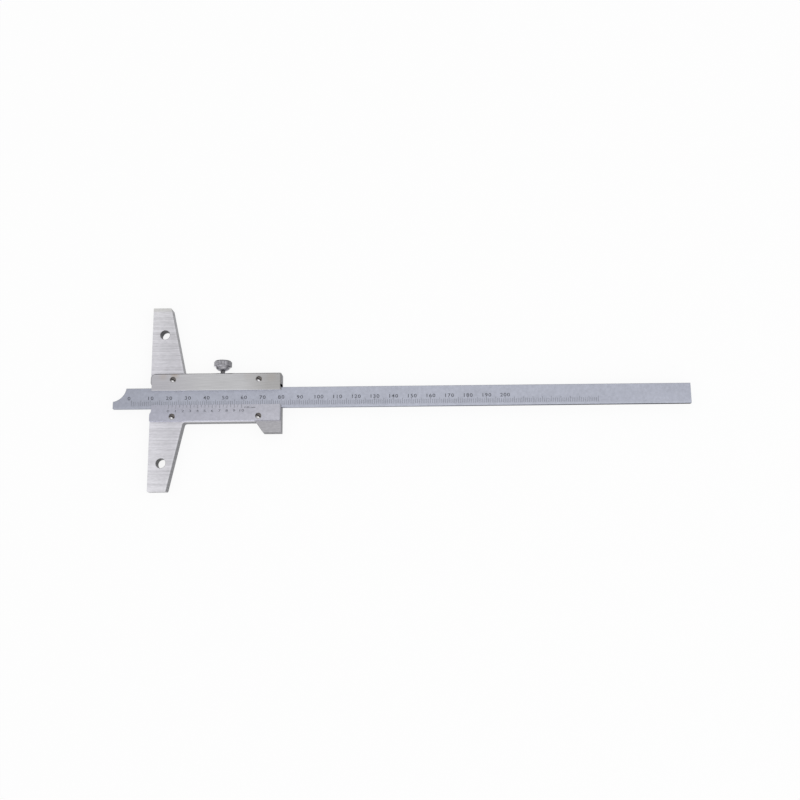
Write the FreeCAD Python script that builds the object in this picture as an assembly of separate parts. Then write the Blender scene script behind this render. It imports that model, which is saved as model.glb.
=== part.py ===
import FreeCAD, Part
import math
import os

# Depth caliper, lying on its back, in millimetres.
# X runs from the measuring plane of the base towards the far end of the beam.
# Y runs along the base, with the clamp screw on the +Y side. Z points up from the back face.
# The origin is where the measuring plane, the beam's centre line and the back face meet.

# Base and slider body
BASE_LENGTH = 100.0
ARM_TIP_WIDTH = 9.8
ARM_ROOT_WIDTH = 17.8
ARM_CORNER_RADIUS = 1.0
ARM_INNER_RADIUS = 1.5
FRAME_THICKNESS = 6.5
FRAME_CHAMFER = 0.15
SLIDER_LENGTH = 70.2
SLIDER_WIDTH = 26.4
SLIDER_CORNER_RADIUS = 0.7
FOOT_TOP_LENGTH = 13.8
FOOT_TIP_LENGTH = 9.75
FOOT_DROP = 5.85
FOOT_CORNER_RADIUS = 0.7

# Relief in the measuring plane, between its two lands
RELIEF_DEPTH = 0.7
RELIEF_FLOOR = 14.1
RELIEF_MOUTH = 17.1
RELIEF_CENTRE = -0.45

# Holes for an extension base
BASE_HOLE_DIAMETER = 5.2
BASE_HOLE_SPACING = 70.0
BASE_HOLE_SETBACK = 6.7
BASE_HOLE_CHAMFER = 0.15

# Beam
BEAM_LENGTH = 310.0
BEAM_WIDTH = 11.0
BEAM_THICKNESS = 3.0
BEAM_CHAMFER = 0.2
NOSE_FACE_HEIGHT = 3.8
NOSE_CUT_LENGTH = 7.0
NOSE_CUT_RADIUS = 8.7
READING = 20.0

# Graduations
ZERO_SETBACK = 10.0
SCALE_LENGTH = 250.0
MILLIMETRE = 1.0
MARK_WIDTH = 0.16
MARK_DEPTH = 0.06
MARK_FOOT_INSET = 1.35
SHORT_MARK = 2.3
LONG_MARK = 3.1
VERNIER_LENGTH = 39.0
VERNIER_DIVISIONS = 20
VERNIER_SHORT_MARK = 1.6
VERNIER_LONG_MARK = 2.1

# Plates that close the beam's channel
PLATE_THICKNESS = 1.5
PLATE_NEAR_SETBACK = 0.1
PLATE_FAR_SETBACK = 0.2
COVER_CORNER_RADIUS = 2.6
COVER_OVERLAP = 1.65
COVER_CHAMFER = 0.6
COVER_NOTCH_DEPTH = 0.5
VERNIER_OVERLAP = 1.7
VERNIER_EDGE_THICKNESS = 0.35
VERNIER_BEVEL_WIDTH = 5.0
VERNIER_LOWER_MARGIN = 0.6

# Running clearances
BEAM_SIDE_CLEARANCE = 0.05
BEAM_FACE_CLEARANCE = 0.05
CHANNEL_RELIEF = 0.4
SCREW_CLEARANCE = 0.05

# Plate screws
PLATE_SCREW_END_INSET = 12.1
COVER_SCREW_INSET = 3.5
VERNIER_SCREW_INSET = 2.9
PLATE_SCREW_DIAMETER = 2.0
PLATE_SCREW_HEAD = 3.3
PLATE_SCREW_HEAD_DEPTH = 0.8
PLATE_SCREW_DOME = 0.3
DOME_FLATS = 3
PLATE_SCREW_LENGTH = 5.0
PLATE_SCREW_SLOT_WIDTH = 0.5
PLATE_SCREW_SLOT_DEPTH = 0.4
PLATE_SCREW_SLOT_ANGLES = (-25.0, -32.0)
PLATE_SCREW_TAP_EXTRA = 0.6
PLATE_SCREW_FIT = 0.02

# Leaf spring between the beam's top edge and the slider
SPRING_SLOT = 1.6
SPRING_END_MARGIN = 7.0
SPRING_THICKNESS = 0.35
SPRING_EDGE_GAP = 0.15
SPRING_GAP = 0.08
SPRING_TAB = 0.9
SPRING_TAB_GAP = 0.1

# Clamp screw
CLAMP_OFFSET = 3.1
CLAMP_AXIS_DROP = 0.05
CLAMP_SHANK_DIAMETER = 2.4
CLAMP_NECK_LENGTH = 1.7
CLAMP_BOSS_HEIGHT = 2.0
CLAMP_BOSS_DIAMETER = 7.6
CLAMP_BOSS_FOOT_DIAMETER = 3.2
BOSS_FLATS = 4
CLAMP_HEAD_DIAMETER = 9.6
CLAMP_HEAD_HEIGHT = 3.5
CLAMP_HEAD_ROUND = 0.75
CROWN_FLATS = 3
CLAMP_HEAD_CHAMFER = 0.35
CLAMP_TIP_GAP = 0.1
CLAMP_TIP_CHAMFER = 0.3
KNURL_COUNT = 36
KNURL_DEPTH = 0.22
KNURL_FILL = 0.8

# Places that follow from the sizes above
HALF_BEAM = BEAM_WIDTH / 2
HALF_SLIDER = SLIDER_WIDTH / 2
HALF_BASE = BASE_LENGTH / 2
BEAM_TOP = FRAME_THICKNESS - BEAM_FACE_CLEARANCE
BEAM_BOTTOM = BEAM_TOP - BEAM_THICKNESS
CHANNEL_FLOOR = BEAM_BOTTOM - BEAM_FACE_CLEARANCE
CHANNEL_LOW = -HALF_BEAM - BEAM_SIDE_CLEARANCE
CHANNEL_HIGH = HALF_BEAM + SPRING_SLOT
BEAM_TIP = -READING
PLATE_TOP = FRAME_THICKNESS + PLATE_THICKNESS
PLATE_END = SLIDER_LENGTH - PLATE_FAR_SETBACK
COVER_LOW = HALF_BEAM - COVER_OVERLAP
VERNIER_HIGH = -HALF_BEAM + VERNIER_OVERLAP
VERNIER_LOW = -HALF_SLIDER + VERNIER_LOWER_MARGIN
MARK_FOOT = -HALF_BEAM + MARK_FOOT_INSET
PLATE_SCREW_X = (PLATE_SCREW_END_INSET, SLIDER_LENGTH - PLATE_SCREW_END_INSET)
CLAMP_X = SLIDER_LENGTH / 2 + CLAMP_OFFSET
CLAMP_AXIS_HEIGHT = (BEAM_TOP + BEAM_BOTTOM) / 2 - CLAMP_AXIS_DROP
SPRING_LENGTH = SLIDER_LENGTH - 2 * SPRING_END_MARGIN
CUT_MARGIN = 1.0


def vec(x, y, z=0.0):
    return FreeCAD.Vector(x, y, z)


def box(x0, x1, y0, y1, z0, z1):
    return Part.makeBox(x1 - x0, y1 - y0, z1 - z0, vec(x0, y0, z0))


def rounded_face(corners, z=0.0):
    """A flat face from (x, y, radius) corners, with a tangent arc at each corner that has a radius."""
    count = len(corners)
    starts, ends, middles = [], [], []
    for index in range(count):
        x, y, radius = corners[index]
        here = vec(x, y, z)
        back = vec(corners[index - 1][0], corners[index - 1][1], z) - here
        ahead = vec(corners[(index + 1) % count][0], corners[(index + 1) % count][1], z) - here
        back.normalize()
        ahead.normalize()
        half = back.getAngle(ahead) / 2
        if radius <= 0:
            starts.append(here)
            ends.append(here)
            middles.append(None)
            continue
        reach = radius / math.tan(half)
        bisector = back + ahead
        bisector.normalize()
        centre = here + bisector * (radius / math.sin(half))
        starts.append(here + back * reach)
        ends.append(here + ahead * reach)
        middles.append(centre - bisector * radius)
    edges = []
    for index in range(count):
        if middles[index] is not None:
            edges.append(Part.Arc(starts[index], middles[index], ends[index]).toShape())
        following = starts[(index + 1) % count]
        if ends[index].distanceToPoint(following) > 1e-6:
            edges.append(Part.LineSegment(ends[index], following).toShape())
    return Part.Face(Part.Wire(edges))


def edges_at(shape, keep):
    """The straight or curved edges whose ends and middle all pass the test."""
    found = []
    for edge in shape.Edges:
        middle = edge.valueAt((edge.FirstParameter + edge.LastParameter) / 2)
        points = [vertex.Point for vertex in edge.Vertexes] + [middle]
        if all(keep(point) for point in points):
            found.append(edge)
    return found


def chamfer_level(shape, size, level):
    """Break every edge that lies at one height."""
    return shape.makeChamfer(size, edges_at(shape, lambda point: abs(point.z - level) < 1e-4))


def relief_corners(setback, side):
    """The two corners where a land of the measuring plane ends and the relief's floor starts."""
    return [
        (setback, RELIEF_CENTRE + side * RELIEF_MOUTH / 2, 0),
        (setback + RELIEF_DEPTH, RELIEF_CENTRE + side * RELIEF_FLOOR / 2, 0),
    ]


def frame_blank():
    """The T of base and slider, with its foot, before the channel and holes."""
    foot_top = SLIDER_LENGTH - FOOT_TOP_LENGTH
    foot_tip = SLIDER_LENGTH - FOOT_TIP_LENGTH
    outline = [(0, HALF_BASE, 0)] + relief_corners(0, 1) + relief_corners(0, -1)[::-1] + [
        (0, -HALF_BASE, 0),
        (ARM_TIP_WIDTH, -HALF_BASE, ARM_CORNER_RADIUS),
        (ARM_ROOT_WIDTH, -HALF_SLIDER, ARM_INNER_RADIUS),
        (foot_top, -HALF_SLIDER, FOOT_CORNER_RADIUS),
        (foot_tip, -HALF_SLIDER - FOOT_DROP, FOOT_CORNER_RADIUS),
        (SLIDER_LENGTH, -HALF_SLIDER - FOOT_DROP, 0),
        (SLIDER_LENGTH, HALF_SLIDER, SLIDER_CORNER_RADIUS),
        (ARM_ROOT_WIDTH, HALF_SLIDER, ARM_INNER_RADIUS),
        (ARM_TIP_WIDTH, HALF_BASE, ARM_CORNER_RADIUS),
    ]
    blank = rounded_face(outline).extrude(vec(0, 0, FRAME_THICKNESS))
    blank = chamfer_level(blank, FRAME_CHAMFER, FRAME_THICKNESS)
    return chamfer_level(blank, FRAME_CHAMFER, 0)


def base_holes():
    """The two holes for an extension base, with their mouths broken on both faces."""
    radius = BASE_HOLE_DIAMETER / 2
    mouth = radius + BASE_HOLE_CHAMFER
    holes = []
    for side in (-1, 1):
        place = vec(BASE_HOLE_SETBACK, side * BASE_HOLE_SPACING / 2, 0)
        top = place + vec(0, 0, FRAME_THICKNESS)
        holes.append(Part.makeCylinder(radius, FRAME_THICKNESS, place))
        holes.append(Part.makeCone(mouth, radius, BASE_HOLE_CHAMFER, place))
        holes.append(Part.makeCone(mouth, radius, BASE_HOLE_CHAMFER, top, vec(0, 0, -1)))
    return holes


def plate_screw_places():
    """(node name, x, y, slot angle) of the four plate screws."""
    places = []
    for plate, y in (("cover", HALF_SLIDER - COVER_SCREW_INSET), ("vernier", VERNIER_SCREW_INSET - HALF_SLIDER)):
        for end, x, angle in zip(("left", "right"), PLATE_SCREW_X, PLATE_SCREW_SLOT_ANGLES):
            places.append((f"{plate}_screw_{end}", x, y, angle))
    return places


def tapped_holes():
    radius = PLATE_SCREW_DIAMETER / 2 + PLATE_SCREW_FIT
    depth = PLATE_SCREW_LENGTH - PLATE_THICKNESS + PLATE_SCREW_TAP_EXTRA
    floor = FRAME_THICKNESS - depth
    return [Part.makeCylinder(radius, depth, vec(x, y, floor)) for _, x, y, _ in plate_screw_places()]


def make_base_frame():
    """Base and slider in one piece, with the beam's channel and the spring slot above it."""
    blank = frame_blank()
    channel = box(-CUT_MARGIN, SLIDER_LENGTH + CUT_MARGIN, CHANNEL_LOW, CHANNEL_HIGH,
                  CHANNEL_FLOOR, FRAME_THICKNESS + CUT_MARGIN)
    relief = box(-CUT_MARGIN, SLIDER_LENGTH + CUT_MARGIN, CHANNEL_LOW - CHANNEL_RELIEF,
                 CHANNEL_LOW + CHANNEL_RELIEF, CHANNEL_FLOOR - CHANNEL_RELIEF, CHANNEL_FLOOR + CHANNEL_RELIEF)
    tab_left = CLAMP_X - SPRING_LENGTH / 2 - SPRING_TAB_GAP
    tab_right = tab_left + SPRING_THICKNESS + 2 * SPRING_TAB_GAP
    tab_slot = box(tab_left, tab_right, HALF_BEAM, CHANNEL_HIGH + SPRING_TAB + SPRING_TAB_GAP,
                   CHANNEL_FLOOR, FRAME_THICKNESS + CUT_MARGIN)
    clamp_hole = Part.makeCylinder(CLAMP_SHANK_DIAMETER / 2 + SCREW_CLEARANCE, HALF_SLIDER,
                                   vec(CLAMP_X, HALF_BEAM, CLAMP_AXIS_HEIGHT), vec(0, 1, 0))
    return blank.cut([channel, relief, tab_slot, clamp_hole] + base_holes() + tapped_holes())


def beam_outline():
    """The beam's flat outline, with the concave cut that leaves a narrow measuring nose."""
    nose = vec(BEAM_TIP, -HALF_BEAM + NOSE_FACE_HEIGHT, 0)
    crown = vec(BEAM_TIP + NOSE_CUT_LENGTH, HALF_BEAM, 0)
    chord = crown - nose
    middle = (nose + crown) / 2
    outward = vec(-chord.y, chord.x)
    outward.normalize()
    drop = math.sqrt(NOSE_CUT_RADIUS ** 2 - (chord.Length / 2) ** 2)
    lowest = middle + outward * (drop - NOSE_CUT_RADIUS)
    far = BEAM_TIP + BEAM_LENGTH
    corners = [crown, vec(far, HALF_BEAM), vec(far, -HALF_BEAM), vec(BEAM_TIP, -HALF_BEAM), nose]
    edges = [Part.LineSegment(start, end).toShape() for start, end in zip(corners, corners[1:])]
    edges.append(Part.Arc(nose, lowest, crown).toShape())
    return Part.Face(Part.Wire(edges))


def main_marks():
    """One shallow groove a millimetre, longer at each fifth."""
    marks = []
    zero = BEAM_TIP + ZERO_SETBACK
    for step in range(round(SCALE_LENGTH / MILLIMETRE) + 1):
        x = zero + step * MILLIMETRE
        length = LONG_MARK if step % 5 == 0 else SHORT_MARK
        marks.append(box(x - MARK_WIDTH / 2, x + MARK_WIDTH / 2, MARK_FOOT, MARK_FOOT + length,
                         BEAM_TOP - MARK_DEPTH, BEAM_TOP + CUT_MARGIN))
    return marks


def make_main_beam():
    beam = beam_outline().extrude(vec(0, 0, BEAM_THICKNESS))
    beam.translate(vec(0, 0, BEAM_BOTTOM))
    beam = chamfer_level(beam, BEAM_CHAMFER, BEAM_TOP)
    beam = chamfer_level(beam, BEAM_CHAMFER, BEAM_BOTTOM)
    return beam.cut(main_marks())


def screw_seat(x, y):
    """The countersunk hole of one plate screw."""
    shank = PLATE_SCREW_DIAMETER / 2 + PLATE_SCREW_FIT
    head = PLATE_SCREW_HEAD / 2 + PLATE_SCREW_FIT
    through = Part.makeCylinder(shank, PLATE_THICKNESS, vec(x, y, FRAME_THICKNESS))
    cone = Part.makeCone(shank, head, PLATE_SCREW_HEAD_DEPTH, vec(x, y, PLATE_TOP - PLATE_SCREW_HEAD_DEPTH))
    return through.fuse(cone)


def screw_seats(side):
    return [screw_seat(x, y) for _, x, y, _ in plate_screw_places() if y * side > 0]


def make_cover_plate():
    """The plain plate over the beam and the spring slot, ground with the base; its far end shows the slot's mouth."""
    outline = [
        (PLATE_NEAR_SETBACK + RELIEF_DEPTH, COVER_LOW, 0),
        (PLATE_END, COVER_LOW, 0),
        (PLATE_END, HALF_SLIDER, SLIDER_CORNER_RADIUS),
        (PLATE_NEAR_SETBACK, HALF_SLIDER, COVER_CORNER_RADIUS),
    ] + relief_corners(PLATE_NEAR_SETBACK, 1)
    plate = rounded_face(outline, FRAME_THICKNESS).extrude(vec(0, 0, PLATE_THICKNESS))
    top_edges = edges_at(plate, lambda point: abs(point.z - PLATE_TOP) < 1e-4 and point.y > COVER_LOW + 1e-4)
    plate = plate.makeChamfer(COVER_CHAMFER, top_edges)
    notch = box(PLATE_END - COVER_NOTCH_DEPTH, PLATE_END + CUT_MARGIN, HALF_BEAM, CHANNEL_HIGH,
                FRAME_THICKNESS - CUT_MARGIN, PLATE_TOP + CUT_MARGIN)
    return plate.cut([notch] + screw_seats(1))


def vernier_marks():
    """Grooves down the bevel, from its thin edge."""
    rise = PLATE_THICKNESS - VERNIER_EDGE_THICKNESS
    slope = math.degrees(math.atan2(rise, VERNIER_BEVEL_WIDTH))
    edge = vec(0, VERNIER_HIGH, FRAME_THICKNESS + VERNIER_EDGE_THICKNESS)
    pitch = VERNIER_LENGTH / VERNIER_DIVISIONS
    marks = []
    for step in range(round(VERNIER_DIVISIONS) + 1):
        x = ZERO_SETBACK + step * pitch
        length = VERNIER_LONG_MARK if step % 2 == 0 else VERNIER_SHORT_MARK
        mark = box(x - MARK_WIDTH / 2, x + MARK_WIDTH / 2, edge.y - length, edge.y + CUT_MARGIN,
                   edge.z - MARK_DEPTH, edge.z + CUT_MARGIN)
        mark.rotate(edge, vec(1, 0, 0), -slope)
        marks.append(mark)
    return marks


def make_vernier_plate():
    """The plate with the vernier on a bevel that thins towards the beam's scale."""
    section = [
        (VERNIER_LOW, FRAME_THICKNESS),
        (VERNIER_HIGH, FRAME_THICKNESS),
        (VERNIER_HIGH, FRAME_THICKNESS + VERNIER_EDGE_THICKNESS),
        (VERNIER_HIGH - VERNIER_BEVEL_WIDTH, PLATE_TOP),
        (VERNIER_LOW, PLATE_TOP),
    ]
    points = [vec(0, y, z) for y, z in section]
    bar = Part.Face(Part.makePolygon(points + points[:1])).extrude(vec(PLATE_END, 0, 0))
    outline = relief_corners(PLATE_NEAR_SETBACK, -1) + [
        (PLATE_NEAR_SETBACK + RELIEF_DEPTH, VERNIER_HIGH, 0),
        (PLATE_END, VERNIER_HIGH, 0),
        (PLATE_END, VERNIER_LOW, 0),
        (PLATE_NEAR_SETBACK, VERNIER_LOW, 0),
    ]
    plate = bar.common(rounded_face(outline, FRAME_THICKNESS).extrude(vec(0, 0, PLATE_THICKNESS)))
    return plate.cut(screw_seats(-1) + vernier_marks())


def make_plate_screw(x, y, angle):
    """A raised countersunk screw with a slot; the rim of its domed head is flush with the plate."""
    shank = PLATE_SCREW_DIAMETER / 2
    head = PLATE_SCREW_HEAD / 2
    neck = PLATE_TOP - PLATE_SCREW_HEAD_DEPTH
    tip = PLATE_TOP - PLATE_SCREW_LENGTH
    lead = shank / 3
    crown = PLATE_TOP + PLATE_SCREW_DOME
    ball = (head ** 2 + PLATE_SCREW_DOME ** 2) / (2 * PLATE_SCREW_DOME)
    profile = [(0, tip), (shank - lead, tip), (shank, tip + lead), (shank, neck)]
    for step in range(round(DOME_FLATS) + 1):
        radius = head * (1 - step / DOME_FLATS)
        profile.append((radius, crown - ball + math.sqrt(ball ** 2 - radius ** 2)))
    points = [vec(r, 0, z) for r, z in profile]
    screw = Part.Face(Part.makePolygon(points + points[:1])).revolve(vec(0, 0, 0), vec(0, 0, 1), 360)
    slot = box(-head, head, -PLATE_SCREW_SLOT_WIDTH / 2, PLATE_SCREW_SLOT_WIDTH / 2,
               PLATE_TOP - PLATE_SCREW_SLOT_DEPTH, crown + CUT_MARGIN)
    slot.rotate(vec(0, 0, 0), vec(0, 0, 1), angle)
    screw = screw.cut(slot)
    screw.translate(vec(x, y, 0))
    return screw


def make_leaf_spring():
    """A strip bowed down to the beam's edge, with a bent tab that keeps it in the slider."""
    ends_y = CHANNEL_HIGH
    bow_y = HALF_BEAM + SPRING_GAP + SPRING_THICKNESS
    left = CLAMP_X - SPRING_LENGTH / 2
    right = CLAMP_X + SPRING_LENGTH / 2
    low = CHANNEL_FLOOR + SPRING_EDGE_GAP
    width = FRAME_THICKNESS - CHANNEL_FLOOR - 2 * SPRING_EDGE_GAP
    drop = vec(0, -SPRING_THICKNESS, 0)
    outer = [vec(left, ends_y, low), vec(CLAMP_X, bow_y, low), vec(right, ends_y, low)]
    inner = [point + drop for point in outer]
    edges = [
        Part.Arc(*outer).toShape(),
        Part.LineSegment(outer[2], inner[2]).toShape(),
        Part.Arc(inner[2], inner[1], inner[0]).toShape(),
        Part.LineSegment(inner[0], outer[0]).toShape(),
    ]
    strip = Part.Face(Part.Wire(edges)).extrude(vec(0, 0, width))
    tab = box(left, left + SPRING_THICKNESS, ends_y - SPRING_THICKNESS, ends_y + SPRING_TAB, low, low + width)
    return strip.fuse(tab).removeSplitter()


def clamp_levels():
    """Distances along the clamp screw's axis: tip, foot of the boss, and the knurled band's ends and crown."""
    tip = HALF_BEAM + SPRING_GAP + SPRING_THICKNESS + CLAMP_TIP_GAP
    boss = HALF_SLIDER + CLAMP_NECK_LENGTH
    head = boss + CLAMP_BOSS_HEIGHT
    top = head + CLAMP_HEAD_HEIGHT
    return tip, boss, head, head + CLAMP_HEAD_CHAMFER, top - CLAMP_HEAD_ROUND, top


def boss_outline(foot, head):
    """(radius, distance along the axis) of the domed boss, a quarter of an ellipse in flats, from its foot up."""
    rim = CLAMP_BOSS_DIAMETER / 2
    last = math.acos(CLAMP_BOSS_FOOT_DIAMETER / CLAMP_BOSS_DIAMETER)
    depth = (head - foot) / math.sin(last)
    angles = [last * (1 - step / BOSS_FLATS) for step in range(round(BOSS_FLATS) + 1)]
    return [(rim * math.cos(angle), head - depth * math.sin(angle)) for angle in angles]


def clamp_blank():
    """The turned screw: the crown, rounded in flats, and the lower edge start at the knurl's root."""
    tip, boss, head, band_low, band_high, top = clamp_levels()
    shank = CLAMP_SHANK_DIAMETER / 2
    rim = CLAMP_HEAD_DIAMETER / 2
    root = rim - KNURL_DEPTH
    outline = [
        (0, tip),
        (shank - CLAMP_TIP_CHAMFER, tip),
        (shank, tip + CLAMP_TIP_CHAMFER),
        (shank, boss),
    ] + boss_outline(boss, head) + [
        (root - CLAMP_HEAD_CHAMFER, head),
        (root, band_low),
        (rim, band_low),
        (rim, band_high),
        (root, band_high),
    ]
    for step in range(round(CROWN_FLATS)):
        angle = math.pi / 2 * (step + 1) / CROWN_FLATS
        inset = CLAMP_HEAD_ROUND * (1 - math.cos(angle))
        outline.append((root - inset, band_high + CLAMP_HEAD_ROUND * math.sin(angle)))
    outline.append((0, top))
    points = [vec(r, along) for r, along in outline]
    return Part.Face(Part.makePolygon(points + points[:1])).revolve(vec(0, 0), vec(0, 1), 360)


def knurl_cuts():
    """Straight V grooves round the head's band."""
    levels = clamp_levels()
    band_low, band_high = levels[3], levels[4]
    rim = CLAMP_HEAD_DIAMETER / 2
    reach = rim + KNURL_DEPTH
    spread = 2 * KNURL_FILL * math.pi * rim / KNURL_COUNT
    points = [vec(rim - KNURL_DEPTH, band_low), vec(reach, band_low, spread), vec(reach, band_low, -spread)]
    groove = Part.Face(Part.makePolygon(points + points[:1])).extrude(vec(0, band_high - band_low))
    cuts = []
    for step in range(round(KNURL_COUNT)):
        cut = groove.copy()
        cut.rotate(vec(0, 0), vec(0, 1), 360 * step / KNURL_COUNT)
        cuts.append(cut)
    return cuts


def make_clamp_screw():
    """The knurled screw that presses the leaf spring against the beam."""
    screw = clamp_blank().cut(knurl_cuts())
    screw.translate(vec(CLAMP_X, 0, CLAMP_AXIS_HEIGHT))
    return screw


def build():
    nodes = {
        "base_frame": make_base_frame(),
        "main_beam": make_main_beam(),
        "cover_plate": make_cover_plate(),
        "vernier_plate": make_vernier_plate(),
        "leaf_spring": make_leaf_spring(),
        "clamp_screw": make_clamp_screw(),
    }
    for name, x, y, angle in plate_screw_places():
        nodes[name] = make_plate_screw(x, y, angle)
    return nodes


os.makedirs("parts", exist_ok=True)
for node, shape in build().items():
    shape.exportStep(f"parts/{node}.step")
    print(f"{node}: solids {len(shape.Solids)}, valid {shape.isValid()}, volume {shape.Volume:.1f}")
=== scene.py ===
import bmesh
import bpy
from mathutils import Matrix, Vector


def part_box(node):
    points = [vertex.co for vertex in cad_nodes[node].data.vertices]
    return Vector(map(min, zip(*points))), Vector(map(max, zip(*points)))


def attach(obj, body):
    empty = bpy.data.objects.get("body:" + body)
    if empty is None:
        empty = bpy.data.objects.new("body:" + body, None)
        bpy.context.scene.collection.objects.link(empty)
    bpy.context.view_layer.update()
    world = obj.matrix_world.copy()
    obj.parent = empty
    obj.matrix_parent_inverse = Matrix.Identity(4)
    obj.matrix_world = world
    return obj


# A vernier depth caliper: the finishes of its CAD nodes, the ink and numbers of both scales, and the photograph's
# floor, light and camera
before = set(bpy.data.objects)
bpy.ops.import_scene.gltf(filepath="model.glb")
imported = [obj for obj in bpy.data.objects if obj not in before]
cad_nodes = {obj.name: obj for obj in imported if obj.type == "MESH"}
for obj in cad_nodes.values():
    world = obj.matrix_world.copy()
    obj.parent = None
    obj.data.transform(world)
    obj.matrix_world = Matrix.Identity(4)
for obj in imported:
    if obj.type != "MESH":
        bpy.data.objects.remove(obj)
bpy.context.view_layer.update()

MM = 0.001
WHITE = (1.0, 1.0, 1.0, 1.0)


def grey(value):
    """A grey given as a linear value."""
    return (value, value, value, 1.0)


def srgb(red, green, blue):
    """A colour given in display steps of 0 to 255, as linear values."""
    def linear(step):
        value = step / 255
        return value / 12.92 if value <= 0.04045 else ((value + 0.055) / 1.055) ** 2.4
    return (linear(red), linear(green), linear(blue), 1.0)


# Graduations, as on the beam and the vernier plate. The setback is from the beam's tip to its zero mark, and
# from the measuring plane to the vernier's zero mark
ZERO_SETBACK = 10 * MM
SCALE_STEPS = 250
LONG_MARK_EVERY = 5
MARK_WIDTH = 0.16 * MM
MARK_DEPTH = 0.06 * MM
MARK_FOOT_INSET = 1.35 * MM
SHORT_MARK = 2.3 * MM
LONG_MARK = 3.1 * MM
INK_DROP = 0.008 * MM
VERNIER_STEPS = 20
VERNIER_LENGTH = 39 * MM
VERNIER_LONG_MARK_EVERY = 2
VERNIER_SHORT_MARK = 1.6 * MM
VERNIER_LONG_MARK = 2.1 * MM
VERNIER_EDGE_THICKNESS = 0.35 * MM
VERNIER_BEVEL_WIDTH = 5.0 * MM

# Numbers, each style as (height, width factor, spacing factor, added stroke width), and their places
MAIN_STYLE = (1.85 * MM, 1.2, 1.16, 0.035 * MM)
VERNIER_STYLE = (1.35 * MM, 1.5, 1.08, 0.0)
UNIT_STYLE = (0.85 * MM, 1.25, 1.1, 0.02 * MM)
NUMBER_EVERY = 10
LAST_NUMBER = 200
NUMBER_MIDDLE = 0.02 * MM
ZERO_SHIFT = -1.4 * MM
VERNIER_LAST_NUMBER = 10
VERNIER_NUMBER_DROP = 3.55 * MM
UNIT_TEXT = "0.05 mm"
UNIT_DROP = 1.75 * MM
UNIT_GAP = 4.4 * MM
INK_THICKNESS = 0.012 * MM
INK_SINK = 0.004 * MM
FIGURE_HEIGHT_OF_SIZE = 0.69
FIGURE_CURVE_STEPS = 3

# The finishes below use these forms. A ramp is (from, to) or (from, to, first value, last value), and goes from
# 0 to 1 where it has no values. Its ends are places in millimetres for Nodes.along and Nodes.spread_mm, parts of
# a face's normal for Nodes.facing, and plain numbers for Nodes.spread. A grain is (noise cells per metre along
# X, Y and Z, detail, roughness). A bump is (strength, height in metres).
UPRIGHT = (0.2, 0.45, 1.0, 0.0)
# The dim reflection of painted shade, in the mouth of the spring slot and in the screws' slots
DARK_EDGE = grey(0.1)
# Painted shade on walls that face right, on the beam and the vernier plate
WALL_RIGHT_SHADE = (0.3, 0.8, 1.0, 0.5)

# Base, the arms: three grains of ground lines with the share of each, and tones from the root to both tips
ARM_GRAINS = ((((12, 980, 980), 3.0, 0.62), 0.54), (((420, 1500, 1500), 2.0, 0.6), 0.32),
              (((60, 2600, 2600), 2.0, 0.6), 0.14))
ARM_LINES = (0.37, 0.63, 0.81, 1.145)
ARM_ROUGHNESS = (0.3, 0.7, 0.30, 0.44)
ARM_BUMP = (0.22, 0.00002)
ARM_ROOT_TONE = srgb(204, 203, 209)
ARM_TIP_TONES = (srgb(217, 216, 221), srgb(210, 209, 213))
ARM_END_TONE = srgb(200, 200, 197)
LOWER_TO_UPPER_ARM = (-10, 10)
ARM_ROOT_TO_TIP = (13, 48)
UPPER_ARM_END = (47.6, 48.6, 0.0, 0.7)
ARM_ACROSS = (2, 11, 1.06, 0.93)

# Base, the arms' slanted edge: its X at the beam's centre line, its fall with the distance from there, and the
# painted highlight along it
ARM_EDGE = 20.67
ARM_SLOPE = 0.2174
ARM_EDGE_HIGHLIGHT = (ARM_EDGE - 1.3, ARM_EDGE - 0.5, 1.0, 1.07)

# Base, the rest of its face: a paler band below the channel, the strip from the arms to the foot, the foot, and
# the bevels that look down or to the right, with a painted highlight on those that look down and painted shade on
# those that look right
BAND_START = (-16.5, -13.8, 1.0, 1.1)
BAND_END = (-12, -10, 1.0, 0.91)
STRIP_TONES = (srgb(225, 224, 228), srgb(208, 207, 212))
STRIP_START = (18.5, 19.5)
STRIP_LENGTH = (28, 52)
FOOT_GRAIN = ((500, 1800, 900), 3.0, 0.55)
FOOT_LAPPING = (0.35, 0.65)
FOOT_TONES = (srgb(162, 161, 165), srgb(176, 175, 179))
FOOT_START = (55.5, 56.5)
BASE_DOWN_HIGHLIGHT = (-0.5, -0.2, 1.12, 1.0)
BASE_RIGHT_SHADE = (0.2, 0.5, 1.0, 0.85)

# Base, the sides: their milling lines, and painted shade on them, lighter toward the lower arm's tip, deeper
# where they face right and lighter where they face up, with a dimmer reflection at a flat angle
MILLED_GRAIN = ((1500, 1500, 80), 3.0, 0.55)
MILLED_LINES = (0.35, 0.65, 0.82, 1.18)
MILLED_SHADE_TONES = (srgb(215, 215, 217), srgb(146, 146, 149))
MILLED_RIGHT_SHADE = srgb(140, 140, 142)
MILLED_FROM_TIP = (-49, -30)
MILLED_FACING_RIGHT = (0.3, 0.8)
MILLED_UP_LIGHT = (0.1, 0.2, 1.0, 1.45)
MILLED_SHADE_EDGE = (0.7, 0.7, 0.71, 1.0)

# Base, painted shade in the bores and in the mouth of the spring slot, with a dimmer reflection and less metal in
# the bores
BORE_X = 6.7
BORE_Y = 35
BORE_REACH = (2.8, 3.0, 1.0, 0.0)
BORE_SHADE_TONE = srgb(56, 56, 60)
BORE_SHADE_EDGE = grey(0.45)
BORE_METAL = (0.0, 1.0, 1.0, 0.3)
MOUTH_SHADE_TONE = srgb(30, 30, 32)
MOUTH_START = (65, 67)
MOUTH_BOTTOM = (5.45, 5.55)
MOUTH_TOP = (7.15, 7.25, 1.0, 0.0)
MOUTH_FLOOR = (1.2, 2.0)
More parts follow.
